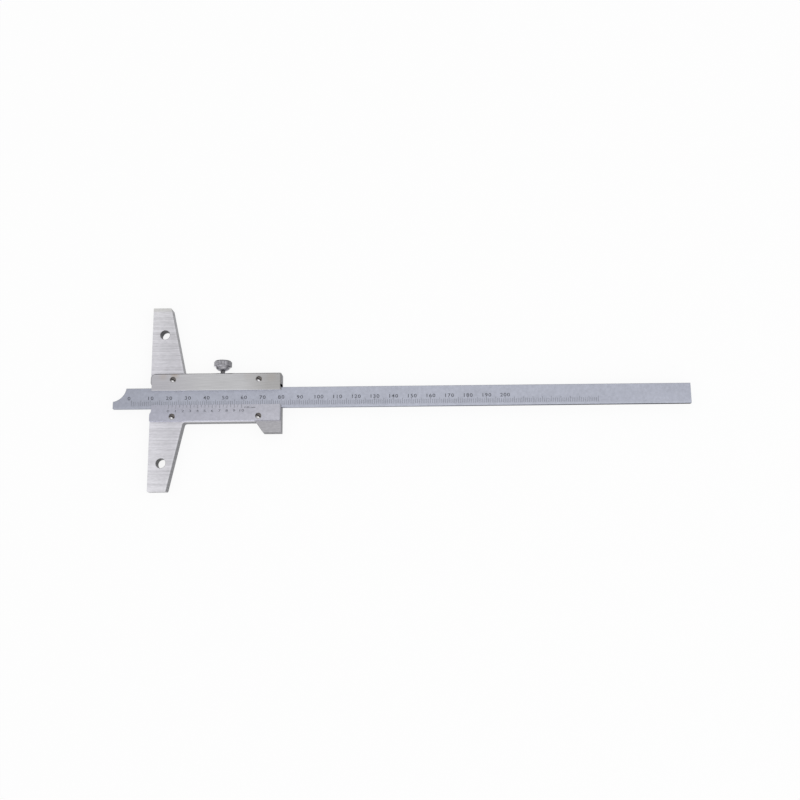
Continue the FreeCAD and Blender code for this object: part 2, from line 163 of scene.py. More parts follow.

# Cover plate: its face, palest in its middle, with painted highlights along its lower and upper rims, painted
# shade on its bevels, and its walls, painted bright where they face down and in painted shade elsewhere
COVER_GRAIN = ((90, 3000, 3000), 3.0, 0.6)
COVER_CLOUD_GRAIN = ((28, 60, 60), 2.0, 0.55)
COVER_LINES = (0.35, 0.65, 0.9, 1.08)
COVER_CLOUD = (0.35, 0.7, 0.98, 1.02)
COVER_ROUGHNESS = (0.3, 0.7, 0.34, 0.46)
COVER_BUMP = (0.15, 0.00001)
COVER_LEFT_TONES = (srgb(183, 182, 187), srgb(191, 191, 193))
COVER_RIGHT_TONE = srgb(169, 168, 168)
COVER_TO_MIDDLE = (9, 27)
COVER_TO_RIGHT = (49, 63)
COVER_LOWER_HIGHLIGHT = (4.1, 4.35, 1.2, 1.0)
COVER_UPPER_HIGHLIGHT = (12.0, 12.4, 1.0, 1.07)
COVER_UP_SHADE = (0.2, 0.5, 1.0, 0.8)
COVER_RIGHT_SHADE = (0.2, 0.5, 1.0, 0.86)
COVER_LEFT_SHADE = (-0.5, -0.2, 0.8, 1.0)
COVER_WALL_SHADE_AND_LIGHT = (srgb(140, 139, 142), srgb(245, 244, 247))
COVER_WALL_FACING_DOWN = (-0.8, -0.4, 1.0, 0.0)
COVER_WALL_EDGE = (-0.8, -0.4, 1.0, 0.7)

# Faint brown stains on the cover plate, each as (X and Y in millimetres, strength)
STAINS = ((13.0, 12.8, 0.5), (7.0, 11.8, 0.25), (52.0, 12.0, 0.25), (65.0, 11.0, 0.2))
STAIN_TONE = srgb(172, 155, 136)
STAIN_REACH = (0.6, 3.2)
STAIN_CLOUD = (0.3, 0.6)

# Satin chrome, of the beam and the vernier plate
SATIN_GRAIN = ((6000, 6000, 6000), 2.0, 0.7)
SATIN_MOTTLE_GRAIN = ((700, 700, 700), 2.0, 0.6)
SATIN_CLOUD_GRAIN = ((22, 90, 90), 3.0, 0.55)
SATIN_SPECKS = (0.3, 0.7, 0.9, 1.07)
SATIN_MOTTLE = (0.3, 0.7, 0.93, 1.07)
SATIN_CLOUD = (0.35, 0.65, 0.97, 1.04)
SATIN_ROUGHNESS = (0.3, 0.7, 0.42, 0.54)
SATIN_BUMP = (0.25, 0.000008)

# Beam: painted shade at the nose's upper rim and on faces that look left, a painted highlight on faces that look
# down, a paler lower rim, and a lower wall in painted shade that deepens to the far end
BEAM_TONES = (srgb(169, 172, 184), srgb(175, 178, 190))
BEAM_TONE_CHANGE = (-15, 20)
BEAM_FAR_END = (100, 290, 1.0, 0.95)
BEAM_LOWER_RIM = (-5.0, -4.2, 1.07, 1.0)
BEAM_FACING_UP = (0.4, 0.6)
BEAM_DOWN_HIGHLIGHT = (-0.6, -0.4, 1.12, 1.0)
BEAM_LEFT_SHADE = (-0.6, -0.4, 0.6, 1.0)
NOSE_TO_BEAM = (-5, 10, 1.0, 0.5)
NOSE_RIM_SHADE = (0.0, 1.0, 1.0, 0.6)
BEAM_WALL_SHADE = (60, 260, 0.95, 0.2)
BEAM_WALL_SHADE_EDGE = (60, 260, 0.6, 0.35)

# Vernier plate: a painted sheen on its bevel, painted shade at its right end and on its walls, and a painted
# highlight on its lower wall
VERNIER_TONES = (srgb(178, 179, 191), srgb(186, 186, 195))
VERNIER_TONE_CHANGE = (5, 65)
VERNIER_RIGHT_END_SHADE = (69.2, 69.8, 1.0, 0.7)
BEVEL_FACING_UP = (0.1, 0.2)
BEVEL_FACING_OUT = (0.9, 0.95)
BEVEL_SHEEN = (0.0, 1.0, 1.0, 1.1)
VERNIER_WALL_LIGHT_AND_SHADE = (-0.6, -0.4, 1.7, 0.8)

# Clamp screw: its axis, the knurl from valley to crest with painted shade in the valleys, painted shade to the
# right and painted light to the left and on faces that look down, the boss in painted shade that deepens
# upward, the neck in painted shade, and a painted highlight on the underside of the head
CLAMP_X = 38.2
CLAMP_Z = 4.9
CLAMP_MARKS_GRAIN = ((500, 2600, 500), 3.0, 0.6)
CLAMP_PATCH_GRAIN = ((900, 900, 900), 2.0, 0.55)
CLAMP_MARKS = (0.38, 0.62, 0.78, 1.18)
CLAMP_PATCHES = (0.4, 0.7, 1.1, 0.8)
CLAMP_ROUGHNESS = (0.3, 0.7, 0.26, 0.42)
CLAMP_BUMP = (0.25, 0.00001)
KNURL_SHADE_TONES = (srgb(136, 135, 140), srgb(184, 183, 188))
KNURL_HEIGHT = (4.6, 4.76)
CLAMP_RIGHT_SHADE = (40.6, 41.8, 1.0, 0.6)
CLAMP_LEFT_LIGHT = (33.8, 35.3, 1.3, 1.0)
CLAMP_DOWN_LIGHT = (-0.8, -0.3, 1.2, 1.0)
BOSS_SHADE_TONES = (srgb(198, 197, 202), srgb(130, 129, 133))
BOSS_HEIGHT = (15.2, 16.6)
BOSS_TOP = (16.9, 17.0, 1.0, 0.0)
NECK_SHADE_TONE = srgb(96, 95, 98)
NECK_REACH = (1.3, 1.6, 1.0, 0.0)
UNDERSIDE_FACING = (-0.3, -0.1, 1.0, 0.0)
UNDERSIDE_START = (16.4, 16.8)
UNDERSIDE_HIGHLIGHT = (36, 40, 1.7, 0.2)

# Plate screws: a head with painted light on its lower flank and a painted glint on it, painted shade on its
# upper flank that leans to the right and takes in both ends, and painted shade in the slot, which starts below
# the rim's height
SCREW_GRAIN = ((2500, 2500, 900), 3.0, 0.6)
SCREW_MARKS = (0.35, 0.65, 0.9, 1.03)
SCREW_ROUGHNESS = (0.3, 0.7, 0.2, 0.34)
SCREW_LIGHT_AND_SHADE = (srgb(176, 175, 178), srgb(106, 102, 100))
SCREW_LEAN = 0.5
SCREW_ENDS = 1.1
SCREW_SHADED_FLANK = (-0.02, 0.08)
GLINT_TONE = srgb(255, 255, 255)
GLINT_LOW = (-0.26, -0.22)
GLINT_HIGH = (-0.14, -0.1, 1.0, 0.0)
GLINT_ACROSS = (0.04, 0.09, 1.0, 0.0)
SCREW_RIM = 8.0
SLOT_DEPTH = (SCREW_RIM - 0.12, SCREW_RIM - 0.04, 1.0, 0.0)
SLOT_SHADE_TONE = srgb(40, 38, 38)

# Spring, and the ink of marks and numbers
SPRING_GRAIN = ((150, 3000, 3000), 3.0, 0.55)
SPRING_TONES = (srgb(196, 150, 92), srgb(150, 108, 62))
SPRING_ROUGHNESS = (0.3, 0.7, 0.28, 0.4)
SPRING_BUMP = (0.2, 0.00001)
INK_GRAIN = ((3000, 3000, 3000), 3.0, 0.55)
INK_WEAR = (0.35, 0.75)
INK_TONES = (srgb(58, 60, 68), srgb(98, 100, 110))
INK_ROUGHNESS = 0.6
INK_BUMP = (0.2, 0.00001)

# Floor
FLOOR_REACH = 3.0
FLOOR_GRAIN = ((60, 60, 60), 3.0, 0.55)
FLOOR_TONES = (grey(0.86), grey(0.9))
FLOOR_GLOW = 0.9

# Camera, fitted to the photograph, with its turn in radians
CAMERA_PLACE = (131.13 * MM, -99.41 * MM, 509.31 * MM)
CAMERA_TURN = (0.19079, -0.00281, -0.01136)
CAMERA_FOCUS_PIXELS = 956.2
PICTURE_PIXELS = 800
SENSOR_MM = 36

# Light: the sky's strength overhead with its rise along X, at the horizon with its fall along Y, and the heights
# between which one turns into the other; and (name, place, size, watts) of each soft lamp
SKY_TOP = (1.03, 0.24)
SKY_EDGE = (0.55, -0.4)
SKY_FADE = (0.1, 0.8)
LAMPS = (("key", (0.45, -0.25, 0.9), 0.7, 0.8),)
LAMP_TARGET = (0.1, 0.0, 0.0)


class Nodes:
    """Short ways to add and join the nodes of one material."""

    # Where a mix node keeps its sockets for colours
    MIX_SOCKETS = {"factor": 0, "first": 6, "second": 7, "result": 2}

    def __init__(self, name):
        self.material = bpy.data.materials.new(name)
        self.material.use_nodes = True
        self.tree = self.material.node_tree
        self.tree.nodes.clear()
        self.output = self.tree.nodes.new("ShaderNodeOutputMaterial")
        coordinates = self.tree.nodes.new("ShaderNodeTexCoord").outputs
        self.object_place = coordinates["Object"]
        self.object_normal = coordinates["Normal"]

    def add(self, kind, **settings):
        """A new node with its settings."""
        node = self.tree.nodes.new(kind)
        for key, value in settings.items():
            setattr(node, key, value)
        return node

    def join(self, source, target):
        """A link from an output to an input."""
        self.tree.links.new(source, target)

    def give(self, socket, value):
        """An input set to a constant, or linked to an output."""
        if isinstance(value, (int, float, tuple)):
            socket.default_value = value
        else:
            self.join(value, socket)

    def noise(self, cells, detail, roughness):
        """Noise of 0 to 1 whose cells per metre are given along each axis."""
        mapping = self.add("ShaderNodeMapping")
        mapping.inputs["Scale"].default_value = cells
        self.join(self.object_place, mapping.inputs["Vector"])
        noise = self.add("ShaderNodeTexNoise")
        noise.inputs["Scale"].default_value = 1.0
        noise.inputs["Detail"].default_value = detail
        noise.inputs["Roughness"].default_value = roughness
        self.join(mapping.outputs["Vector"], noise.inputs["Vector"])
        return noise.outputs["Fac"]

    def spread(self, value, low, high, to_low=0.0, to_high=1.0):
        """One range of values stretched to another, with both ends held."""
        node = self.add("ShaderNodeMapRange")
        for key, number in zip(("From Min", "From Max", "To Min", "To Max"), (low, high, to_low, to_high)):
            node.inputs[key].default_value = number
        self.join(value, node.inputs["Value"])
        return node.outputs["Result"]

    def spread_mm(self, value, low, high, to_low=0.0, to_high=1.0):
        """The same for a length, with the first range in millimetres."""
        return self.spread(value, low * MM, high * MM, to_low, to_high)

    def math(self, operation, first, second=0.0):
        """One operation on a value, or on two."""
        node = self.add("ShaderNodeMath", operation=operation)
        self.give(node.inputs[0], first)
        self.give(node.inputs[1], second)
        return node.outputs["Value"]

    def all_of(self, *values):
        """The product of two or more values, which for masks is where all of them hold."""
        product = values[0]
        for value in values[1:]:
            product = self.math("MULTIPLY", product, value)
        return product

    def mix(self, factor, first, second):
        """A blend of two colours."""
        node = self.add("ShaderNodeMix", data_type="RGBA")
        sockets = self.MIX_SOCKETS
        self.give(node.inputs[sockets["factor"]], factor)
        self.give(node.inputs[sockets["first"]], first)
        self.give(node.inputs[sockets["second"]], second)
        return node.outputs[sockets["result"]]

    def axis(self, letter, source=None):
        """One part of the place on the piece, or of another vector."""
        split = self.add("ShaderNodeSeparateXYZ")
        self.join(source or self.object_place, split.inputs[0])
        return split.outputs[letter]

    def along(self, letter, *ramp):
        """A ramp between two places on an axis of the piece."""
        return self.spread_mm(self.axis(letter), *ramp)

    def normal(self, letter):
        """How far a face looks along an axis of the piece."""
        return self.axis(letter, self.object_normal)

    def facing(self, letter, *ramp):
        """A ramp by how far a face looks along an axis of the piece."""
        return self.spread(self.normal(letter), *ramp)

    def from_axis(self, first, second):
        """Distance from an axis line, given as two (part of the place, its value in millimetres) pairs."""
        squares = []
        for part, value in (first, second):
            squares.append(self.math("POWER", self.math("SUBTRACT", part, value * MM), 2.0))
        return self.math("SQRT", self.math("ADD", *squares))

    def times(self, colour, *factors):
        """A colour made brighter or darker by values."""
        node = self.add("ShaderNodeVectorMath", operation="SCALE")
        self.give(node.inputs[0], colour[:3] if isinstance(colour, tuple) else colour)
        self.join(self.all_of(*factors), node.inputs["Scale"])
        return node.outputs[0]

    def bump(self, height, strength, distance):
        """A normal raised by a height of 0 to 1 times a distance in metres."""
        node = self.add("ShaderNodeBump")
        node.inputs["Strength"].default_value = strength
        node.inputs["Distance"].default_value = distance
        self.join(height, node.inputs["Height"])
        return node.outputs["Normal"]

    def surface(self, colour, metallic, roughness, normal=None, edge=WHITE):
        """The finished material; edge is the tint of its reflection at a flat angle."""
        shader = self.add("ShaderNodeBsdfPrincipled")
        self.give(shader.inputs["Base Color"], colour)
        self.give(shader.inputs["Metallic"], metallic)
        self.give(shader.inputs["Roughness"], roughness)
        self.give(shader.inputs["Specular Tint"], edge)
        if normal is not None:
            self.join(normal, shader.inputs["Normal"])
        self.join(shader.outputs["BSDF"], self.output.inputs["Surface"])
        return self.material


def side_mask(nodes):
    """1 on faces that stand upright, 0 on faces that look up or down."""
    return nodes.spread(nodes.math("ABSOLUTE", nodes.normal("Z")), *UPRIGHT)


def ground_steel():
    """Surface-ground steel: wavy lines along X on the arms, a lapped foot, milling lines and painted shade on the
    sides, and painted shade in the bores.
    """
    nodes = Nodes("ground_steel")
    wave, short, fine = (nodes.math("MULTIPLY", nodes.noise(*grain), share) for grain, share in ARM_GRAINS)
    lines = nodes.math("ADD", nodes.math("ADD", wave, short), fine)
    outward = nodes.math("ABSOLUTE", nodes.axis("Y"))
    tips = nodes.mix(nodes.along("Y", *LOWER_TO_UPPER_ARM), *ARM_TIP_TONES)
    colour = nodes.mix(nodes.spread_mm(outward, *ARM_ROOT_TO_TIP), ARM_ROOT_TONE, tips)
    colour = nodes.mix(nodes.along("Y", *UPPER_ARM_END), colour, ARM_END_TONE)
    to_edge = nodes.math("ADD", nodes.axis("X"), nodes.math("MULTIPLY", outward, ARM_SLOPE))
    # Ground lines, tones across the arm, a painted highlight along the slanted edge, and a paler band
    colour = nodes.times(colour, nodes.spread(lines, *ARM_LINES), nodes.along("X", *ARM_ACROSS),
                         nodes.spread_mm(to_edge, *ARM_EDGE_HIGHLIGHT), nodes.along("Y", *BAND_START),
                         nodes.along("Y", *BAND_END))
    strip = nodes.mix(nodes.along("X", *STRIP_LENGTH), *STRIP_TONES)
    colour = nodes.mix(nodes.along("X", *STRIP_START), colour, strip)
    foot = nodes.mix(nodes.spread(nodes.noise(*FOOT_GRAIN), *FOOT_LAPPING), *FOOT_TONES)
    colour = nodes.mix(nodes.along("X", *FOOT_START), colour, foot)
    # A painted highlight on bevels that look down, painted shade on those that look right
    colour = nodes.times(colour, nodes.facing("Y", *BASE_DOWN_HIGHLIGHT), nodes.facing("X", *BASE_RIGHT_SHADE))
    # The sides: painted shade, set by the way each side faces, over their milling lines
    milled_and_shade = nodes.mix(nodes.along("Y", *MILLED_FROM_TIP), *MILLED_SHADE_TONES)
    milled_and_shade = nodes.mix(nodes.facing("X", *MILLED_FACING_RIGHT), milled_and_shade, MILLED_RIGHT_SHADE)
    milled_and_shade = nodes.times(milled_and_shade, nodes.facing("Y", *MILLED_UP_LIGHT))
    milled_and_shade = nodes.times(milled_and_shade, nodes.spread(nodes.noise(*MILLED_GRAIN), *MILLED_LINES))
    side = side_mask(nodes)
    colour = nodes.mix(side, colour, milled_and_shade)
    # Painted shade in the bores and in the mouth of the spring slot
    to_bore = nodes.from_axis((nodes.axis("X"), BORE_X), (outward, BORE_Y))
    bore = nodes.all_of(side, nodes.spread_mm(to_bore, *BORE_REACH))
    mouth = nodes.all_of(nodes.along("X", *MOUTH_START), nodes.along("Y", *MOUTH_BOTTOM),
                         nodes.along("Y", *MOUTH_TOP), nodes.along("Z", *MOUTH_FLOOR))
    colour = nodes.mix(mouth, nodes.mix(bore, colour, BORE_SHADE_TONE), MOUTH_SHADE_TONE)
    edge = nodes.mix(bore, nodes.mix(side, WHITE, MILLED_SHADE_EDGE), BORE_SHADE_EDGE)
    edge = nodes.mix(mouth, edge, DARK_EDGE)
    return nodes.surface(colour, nodes.spread(bore, *BORE_METAL), nodes.spread(lines, *ARM_ROUGHNESS),
                         nodes.bump(lines, *ARM_BUMP), edge)


def cover_steel():
    """Lapped warm grey steel with very fine lines along the plate, palest in its middle, with painted highlights
    along its rims, painted shade on its bevels, and walls painted bright below and in painted shade elsewhere.
    """
    nodes = Nodes("cover_steel")
    lines = nodes.noise(*COVER_GRAIN)
    cloud = nodes.noise(*COVER_CLOUD_GRAIN)
    colour = nodes.mix(nodes.along("X", *COVER_TO_MIDDLE), *COVER_LEFT_TONES)
    colour = nodes.mix(nodes.along("X", *COVER_TO_RIGHT), colour, COVER_RIGHT_TONE)
    # Fine lines, a cloud, and painted highlights along the lower and upper rims
    colour = nodes.times(colour, nodes.spread(lines, *COVER_LINES), nodes.spread(cloud, *COVER_CLOUD),
                         nodes.along("Y", *COVER_LOWER_HIGHLIGHT), nodes.along("Y", *COVER_UPPER_HIGHLIGHT))
    # Painted shade on the bevels that look up, right and left
    colour = nodes.times(colour, nodes.facing("Y", *COVER_UP_SHADE), nodes.facing("X", *COVER_RIGHT_SHADE),
                         nodes.facing("X", *COVER_LEFT_SHADE))
    for x, y, strength in STAINS:
        distance = nodes.from_axis((nodes.axis("X"), x), (nodes.axis("Y"), y))
        near = nodes.spread_mm(distance, *STAIN_REACH, strength, 0.0)
        colour = nodes.mix(nodes.all_of(near, nodes.spread(cloud, *STAIN_CLOUD)), colour, STAIN_TONE)
    # The walls: painted bright where they face down, in painted shade elsewhere, with a dimmer reflection there
    wall = nodes.mix(nodes.facing("Y", *COVER_WALL_FACING_DOWN), *COVER_WALL_SHADE_AND_LIGHT)
    side = side_mask(nodes)
    edge = nodes.mix(side, WHITE, nodes.times(WHITE, nodes.facing("Y", *COVER_WALL_EDGE)))
    return nodes.surface(nodes.mix(side, colour, wall), 1.0, nodes.spread(lines, *COVER_ROUGHNESS),
                         nodes.bump(lines, *COVER_BUMP), edge)


def satin_chrome(nodes, tones, change):
    """Grain and colour of glare-free satin chrome, a bluish grey that goes from one tone to another along X."""
    grain = nodes.noise(*SATIN_GRAIN)
    mottle = nodes.spread(nodes.noise(*SATIN_MOTTLE_GRAIN), *SATIN_MOTTLE)
    cloud = nodes.spread(nodes.noise(*SATIN_CLOUD_GRAIN), *SATIN_CLOUD)
    colour = nodes.mix(nodes.along("X", *change), *tones)
    return grain, nodes.times(colour, nodes.spread(grain, *SATIN_SPECKS), mottle, cloud)


def satin_surface(nodes, grain, colour, wall, wall_edge):
    """wall and wall_edge are the colours of the upright faces, seen straight on and at a flat angle."""
    side = side_mask(nodes)
    edge = nodes.mix(side, WHITE, wall_edge)
    return nodes.surface(nodes.mix(side, colour, wall), 1.0, nodes.spread(grain, *SATIN_ROUGHNESS),
                         nodes.bump(grain, *SATIN_BUMP), edge)


def beam_chrome():
    """The beam's face, with painted shade at the upper rim of its nose and on faces that look left, a painted
    highlight on faces that look down, and a lower wall in painted shade that deepens to the far end.
    """
    nodes = Nodes("beam_chrome")
    grain, colour = satin_chrome(nodes, BEAM_TONES, BEAM_TONE_CHANGE)
    # Painted shade at the nose's upper rim and on faces that look left, a painted highlight on faces that look
    # down
    nose_rim_shade = nodes.all_of(nodes.facing("Y", *BEAM_FACING_UP), nodes.along("X", *NOSE_TO_BEAM))
    colour = nodes.times(colour, nodes.along("X", *BEAM_FAR_END), nodes.spread(nose_rim_shade, *NOSE_RIM_SHADE),
                         nodes.facing("Y", *BEAM_DOWN_HIGHLIGHT), nodes.facing("X", *BEAM_LEFT_SHADE),
                         nodes.along("Y", *BEAM_LOWER_RIM))
    # The walls in painted shade, deepening to the far end and where they face right
    wall = nodes.times(colour, nodes.along("X", *BEAM_WALL_SHADE), nodes.facing("X", *WALL_RIGHT_SHADE))
    return satin_surface(nodes, grain, colour, wall, nodes.times(WHITE, nodes.along("X", *BEAM_WALL_SHADE_EDGE)))


def vernier_chrome():
    """The vernier plate's face, with a painted sheen on its bevel, painted shade at its right end and on its
    walls, and a painted highlight on its lower wall.
    """
    nodes = Nodes("vernier_chrome")
    grain, colour = satin_chrome(nodes, VERNIER_TONES, VERNIER_TONE_CHANGE)
    # A painted sheen on the bevel, painted shade at the right end
    bevel = nodes.all_of(nodes.facing("Y", *BEVEL_FACING_UP), nodes.facing("Z", *BEVEL_FACING_OUT))
    colour = nodes.times(colour, nodes.spread(bevel, *BEVEL_SHEEN), nodes.along("X", *VERNIER_RIGHT_END_SHADE))
    # The walls: a painted highlight where they face down, painted shade elsewhere, deepest where they face right
    wall = nodes.times(colour, nodes.facing("Y", *VERNIER_WALL_LIGHT_AND_SHADE), nodes.facing("X", *WALL_RIGHT_SHADE))
    return satin_surface(nodes, grain, colour, wall, WHITE)


def clamp_steel():
    """Turned steel, with painted shade in the knurl's valleys, to the right, on the boss, deepening upward, and
    on the neck, and painted light to the left, on faces that look down and on the underside of the head.
    """
    nodes = Nodes("clamp_steel")
    marks = nodes.noise(*CLAMP_MARKS_GRAIN)
    patch = nodes.noise(*CLAMP_PATCH_GRAIN)
    radius = nodes.from_axis((nodes.axis("X"), CLAMP_X), (nodes.axis("Z"), CLAMP_Z))
    # Painted shade in the knurl's valleys, and to the right
    colour = nodes.mix(nodes.spread_mm(radius, *KNURL_HEIGHT), *KNURL_SHADE_TONES)
    colour = nodes.times(colour, nodes.along("X", *CLAMP_RIGHT_SHADE))
    # The boss in painted shade that deepens upward, and the neck in painted shade
    boss = nodes.mix(nodes.along("Y", *BOSS_HEIGHT), *BOSS_SHADE_TONES)
    colour = nodes.mix(nodes.along("Y", *BOSS_TOP), colour, boss)
    colour = nodes.mix(nodes.spread_mm(radius, *NECK_REACH), colour, NECK_SHADE_TONE)
    # Random marks and patches, and painted light to the left and on faces that look down
    colour = nodes.times(colour, nodes.spread(marks, *CLAMP_MARKS), nodes.spread(patch, *CLAMP_PATCHES),
                         nodes.along("X", *CLAMP_LEFT_LIGHT), nodes.facing("Y", *CLAMP_DOWN_LIGHT))
    # A painted highlight on the underside of the head
    underside = nodes.all_of(nodes.facing("Y", *UNDERSIDE_FACING), nodes.along("Y", *UNDERSIDE_START),
                             nodes.along("X", *UNDERSIDE_HIGHLIGHT))
    colour = nodes.times(colour, nodes.math("ADD", underside, 1.0))
    return nodes.surface(colour, 1.0, nodes.spread(patch, *CLAMP_ROUGHNESS), nodes.bump(marks, *CLAMP_BUMP))


def screw_steel():
    """Screw heads with painted light and a painted glint low on them, painted shade on the upper flank and at
    both ends, and painted shade in the slot.
    """
    nodes = Nodes("screw_steel")
    marks = nodes.noise(*SCREW_GRAIN)
    across = nodes.math("ABSOLUTE", nodes.normal("X"))
    # Painted shade on the upper flank, leaning to the right and taking in both ends
    upward = nodes.math("ADD", nodes.normal("Y"), nodes.math("MULTIPLY", nodes.normal("X"), SCREW_LEAN))
    upward = nodes.math("ADD", upward, nodes.math("MULTIPLY", across, SCREW_ENDS))
    colour = nodes.mix(nodes.spread(upward, *SCREW_SHADED_FLANK), *SCREW_LIGHT_AND_SHADE)
    # A painted glint low on the head
    glint = nodes.all_of(nodes.facing("Y", *GLINT_HIGH), nodes.facing("Y", *GLINT_LOW),
                         nodes.spread(across, *GLINT_ACROSS))
    colour = nodes.mix(glint, colour, GLINT_TONE)
    colour = nodes.times(colour, nodes.spread(marks, *SCREW_MARKS))
    # Painted shade in the slot
    slot = nodes.along("Z", *SLOT_DEPTH)
    colour = nodes.mix(slot, colour, SLOT_SHADE_TONE)
    edge = nodes.mix(slot, WHITE, DARK_EDGE)
    return nodes.surface(colour, 1.0, nodes.spread(marks, *SCREW_ROUGHNESS), None, edge)


def spring_bronze():
    """Rolled bronze with fine lines along the strip."""
    nodes = Nodes("spring_bronze")
    lines = nodes.noise(*SPRING_GRAIN)
    colour = nodes.mix(lines, *SPRING_TONES)
    return nodes.surface(colour, 1.0, nodes.spread(lines, *SPRING_ROUGHNESS), nodes.bump(lines, *SPRING_BUMP))


def scale_ink():
    """The dark filling of marks and numbers, a little worn."""
    nodes = Nodes("scale_ink")
    wear = nodes.noise(*INK_GRAIN)
    colour = nodes.mix(nodes.spread(wear, *INK_WEAR), *INK_TONES)
    return nodes.surface(colour, 0.0, INK_ROUGHNESS, nodes.bump(wear, *INK_BUMP))


def pale_floor():
    """A pale floor that reads as white to the camera and in the metal, and still takes the shadow."""
    nodes = Nodes("pale_floor")
    diffuse = nodes.add("ShaderNodeBsdfDiffuse")
    nodes.join(nodes.mix(nodes.noise(*FLOOR_GRAIN), *FLOOR_TONES), diffuse.inputs["Color"])
    glow = nodes.add("ShaderNodeEmission")
    glow.inputs["Color"].default_value = WHITE
    glow.inputs["Strength"].default_value = 1.0
    path = nodes.add("ShaderNodeLightPath").outputs
    in_metal = nodes.math("MAXIMUM", path["Is Glossy Ray"], path["Is Transmission Ray"])
    seen = nodes.math("MAXIMUM", path["Is Camera Ray"], in_metal)
    blend = nodes.add("ShaderNodeMixShader")
    nodes.join(nodes.math("MULTIPLY", seen, FLOOR_GLOW), blend.inputs[0])
    nodes.join(diffuse.outputs[0], blend.inputs[1])
    nodes.join(glow.outputs[0], blend.inputs[2])
    nodes.join(blend.outputs[0], nodes.output.inputs["Surface"])
    return nodes.material


def dress(node, material):
    """Gives a CAD node its finish."""
    node.data.materials.clear()
    node.data.materials.append(material)


def new_piece(name, mesh, material, body):
    """Adds a piece that rides on a body, with the given material in its slot."""
    piece = bpy.data.objects.new(name, mesh)
    bpy.context.scene.collection.objects.link(piece)
    mesh.materials.append(material)
    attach(piece, body)


def finished(work, name):
    """The mesh of a finished bmesh, with its normals outward."""
    mesh = bpy.data.meshes.new(name)
    bmesh.ops.recalc_face_normals(work, faces=work.faces)
    work.to_mesh(mesh)
    work.free()
    return mesh


def add_bar(work, corner, along, across, up):
    """A six-sided bar from one corner and three edge vectors."""
    low = [corner, corner + along, corner + along + across, corner + across]
    bottom = [work.verts.new(point) for point in low]
    top = [work.verts.new(point + up) for point in low]
    work.faces.new(bottom[::-1])
    work.faces.new(top)
    for index in range(len(low)):
        following = (index + 1) % len(low)
        work.faces.new((bottom[index], bottom[following], top[following], top[index]))


def main_marks(beam_low, beam_high, ink):
    """Ink in the beam's grooves, a hair below its surface."""
    work = bmesh.new()
    foot = beam_low.y + MARK_FOOT_INSET
    zero = beam_low.x + ZERO_SETBACK
    for step in range(SCALE_STEPS + 1):
        length = LONG_MARK if step % LONG_MARK_EVERY == 0 else SHORT_MARK
        corner = Vector((zero + step * MM - MARK_WIDTH / 2, foot, beam_high.z - MARK_DEPTH))
        add_bar(work, corner, Vector((MARK_WIDTH, 0, 0)), Vector((0, length, 0)),
                Vector((0, 0, MARK_DEPTH - INK_DROP)))
    new_piece("main_scale_marks", finished(work, "main_scale_marks"), ink, "beam")


def vernier_line(plate_low, plate_high):
    """(edge point, direction down the bevel, outward normal) of the vernier's bevelled face."""
    edge = Vector((0, plate_high.y, plate_low.z + VERNIER_EDGE_THICKNESS))
    thickness = plate_high.z - plate_low.z
    down = Vector((0, -VERNIER_BEVEL_WIDTH, thickness - VERNIER_EDGE_THICKNESS)).normalized()
    normal = Vector((1, 0, 0)).cross(-down).normalized()
    return edge, down, normal


def vernier_marks(edge, down, normal, ink):
    """Ink in the vernier's grooves, a hair below its bevel."""
    work = bmesh.new()
    for step in range(VERNIER_STEPS + 1):
        length = VERNIER_LONG_MARK if step % VERNIER_LONG_MARK_EVERY == 0 else VERNIER_SHORT_MARK
        x = ZERO_SETBACK + step * VERNIER_LENGTH / VERNIER_STEPS - MARK_WIDTH / 2
        corner = edge + Vector((x, 0, 0)) - normal * MARK_DEPTH
        add_bar(work, corner, Vector((MARK_WIDTH, 0, 0)), down * length, normal * (MARK_DEPTH - INK_DROP))
    new_piece("vernier_marks", finished(work, "vernier_marks"), ink, "frame")


def figure_mesh(text, style):
    """A flat mesh of plain figures, centred on its origin, in a style of (height, width, spacing, weight)."""
    height, width, spacing, weight = style
    curve = bpy.data.curves.new("figures", "FONT")
    curve.body = text
    curve.size = height / FIGURE_HEIGHT_OF_SIZE
    curve.space_character = spacing
    curve.align_x = "CENTER"
    curve.resolution_u = FIGURE_CURVE_STEPS
    curve.offset = weight
    curve.extrude = INK_THICKNESS / 2
    holder = bpy.data.objects.new("figures", curve)
    bpy.context.scene.collection.objects.link(holder)
    bpy.context.view_layer.update()
    mesh = bpy.data.meshes.new_from_object(holder)
    bpy.data.objects.remove(holder)
    bpy.data.curves.remove(curve)
    for vertex in mesh.vertices:
        vertex.co.x *= width
    return mesh


def join_figures(name, figures, ink, body):
    """Adds one piece of several figures, each given as (text, style, middle, up direction, normal)."""
    work = bmesh.new()
    for text, style, middle, up, normal in figures:
        mesh = figure_mesh(text, style)
        right = up.cross(normal)
        height = style[0]
        for vertex in mesh.vertices:
            x, y, z = vertex.co
            lift = z + INK_THICKNESS / 2 - INK_SINK
            vertex.co = middle + right * x + up * (y - height / 2) + normal * lift
        work.from_mesh(mesh)
        bpy.data.meshes.remove(mesh)
    new_piece(name, finished(work, name), ink, body)


def main_numbers(beam_low, beam_high, ink):
    """The beam's numbers, each over its mark but for the 0, which stands a little to the left."""
    up = Vector((0, 1, 0))
    normal = Vector((0, 0, 1))
    figures = []
    for value in range(0, LAST_NUMBER + 1, NUMBER_EVERY):
        shift = ZERO_SHIFT if value == 0 else 0.0
        middle = Vector((beam_low.x + ZERO_SETBACK + value * MM + shift, NUMBER_MIDDLE, beam_high.z))
        figures.append((str(value), MAIN_STYLE, middle, up, normal))
    join_figures("main_scale_numbers", figures, ink, "beam")


